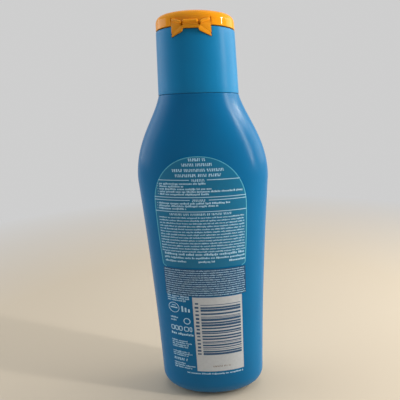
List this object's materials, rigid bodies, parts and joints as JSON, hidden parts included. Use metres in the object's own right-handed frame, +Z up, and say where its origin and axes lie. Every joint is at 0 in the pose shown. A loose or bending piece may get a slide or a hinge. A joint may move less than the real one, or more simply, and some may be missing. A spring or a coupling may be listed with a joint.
{
  "type": "sunscreen bottle",
  "caption": "Flat oval sunscreen squeeze bottle with an arched rear label, a tapering closure that snaps over its neck, and a flip-top lid on a butterfly film hinge.",
  "frame": {"origin": "centre of the bottle's base, on the plane that it stands on", "axes": "+Z up through the neck, X along the bottle's wide side, -Y out of the rear that carries the label and the hinge, +Y out of the thumb side"},
  "size_m": [0.064, 0.0393, 0.1921],
  "materials": {
    "bottle_blue": "semi-gloss blown polyethylene, deep sea blue",
    "label_print": "satin label film, blue with a teal arch and pale printing",
    "closure_blue": "satin moulded polypropylene, deep sea blue",
    "hinge_orange": "satin moulded polypropylene, orange yellow",
    "lid_orange": "satin moulded polypropylene, orange yellow"
  },
  "bodies": {
    "bottle": {"bottle_body": "bottle_blue", "rear_label": "label_print", "cap_base": "closure_blue", "hinge_anchor": "hinge_orange"},
    "lid": {"flip_lid": "lid_orange"},
    "wing_right": {"hinge_wing_right": "hinge_orange"},
    "wing_left": {"hinge_wing_left": "hinge_orange"}
  },
  "joints": [
    {"name": "lid_hinge", "type": "hinge", "parent": "bottle", "child": "lid", "pos_m": [0, -0.01515, 0.1839], "axis": [1, 0, 0], "range_deg": [0, 143.3]},
    {"name": "wing_right_film", "type": "hinge", "parent": "bottle", "child": "wing_right", "pos_m": [0.0083, -0.01305, 0.1808], "axis": [0.7822, 0.3494, -0.5159], "range_deg": [0, 88.8]},
    {"name": "wing_left_film", "type": "hinge", "parent": "bottle", "child": "wing_left", "pos_m": [-0.0083, -0.01305, 0.1808], "axis": [0.7822, -0.3494, 0.5159], "range_deg": [0, 88.8]}
  ],
  "couplings": [
    {"joint": "wing_right_film", "follows": "lid_hinge", "ratio": 0.61893},
    {"joint": "wing_left_film", "follows": "lid_hinge", "ratio": 0.61893}
  ]
}
